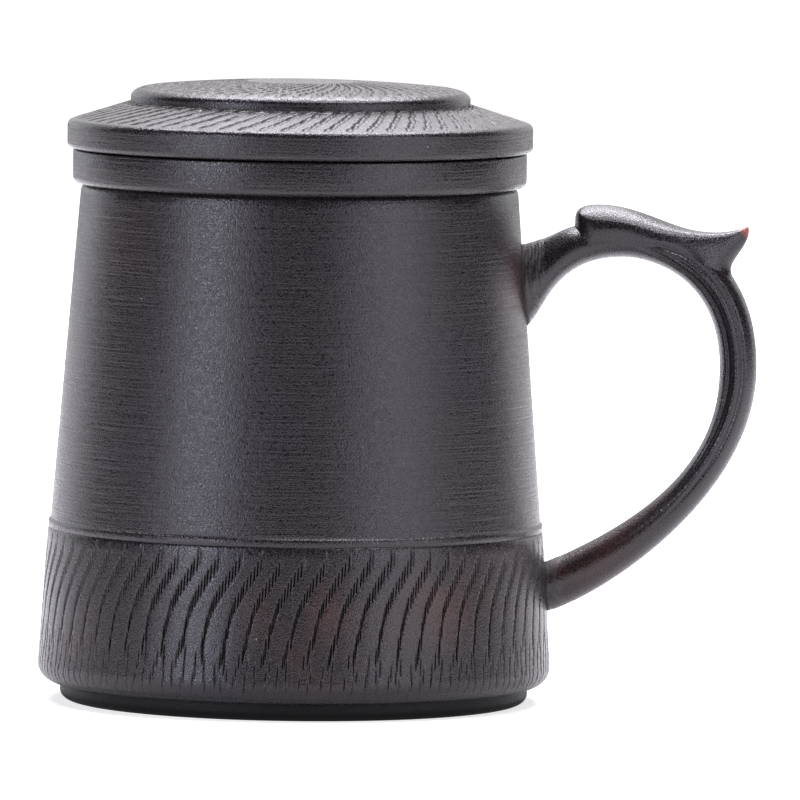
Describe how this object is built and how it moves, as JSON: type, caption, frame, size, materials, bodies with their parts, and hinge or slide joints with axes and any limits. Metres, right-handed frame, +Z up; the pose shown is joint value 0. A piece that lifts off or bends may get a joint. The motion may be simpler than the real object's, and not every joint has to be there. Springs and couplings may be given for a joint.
{
  "type": "lidded tea mug with infuser",
  "caption": "Straight-tapered clay mug with a carved lower band, a looped handle with a horned thumb rest, a lift-out infuser basket that hangs on the lip, and a low domed lid.",
  "frame": {"origin": "centre of the foot ring's resting face, on the table and on the mug's axis", "axes": "+Z up along the mug's axis, +X towards the handle, +Y across the handle"},
  "size_m": [0.1342, 0.0962, 0.1163],
  "materials": {
    "burnished_clay": "burnished satin, unglazed, fired dark grey-violet with brown-red clouds",
    "dark_clay": "matt, unglazed, darker",
    "raw_clay": "matt, unglazed, turned"
  },
  "bodies": {
    "mug": {"mug_body": "burnished_clay", "foot_ring": "dark_clay", "handle_loop": "burnished_clay", "thumb_rest": "burnished_clay"},
    "infuser": {"infuser_basket": "raw_clay", "infuser_rim": "burnished_clay", "strainer_floor": "raw_clay"},
    "lid": {"lid_cap": "burnished_clay", "lid_locating_ring": "raw_clay"}
  },
  "joints": [
    {"name": "infuser_lift", "type": "slide", "parent": "mug", "child": "infuser", "axis": [0, 0, 1], "range_m": [0, 0.075]},
    {"name": "lid_lift", "type": "slide", "parent": "infuser", "child": "lid", "axis": [0, 0, 1], "range_m": [0, 0.045]}
  ]
}
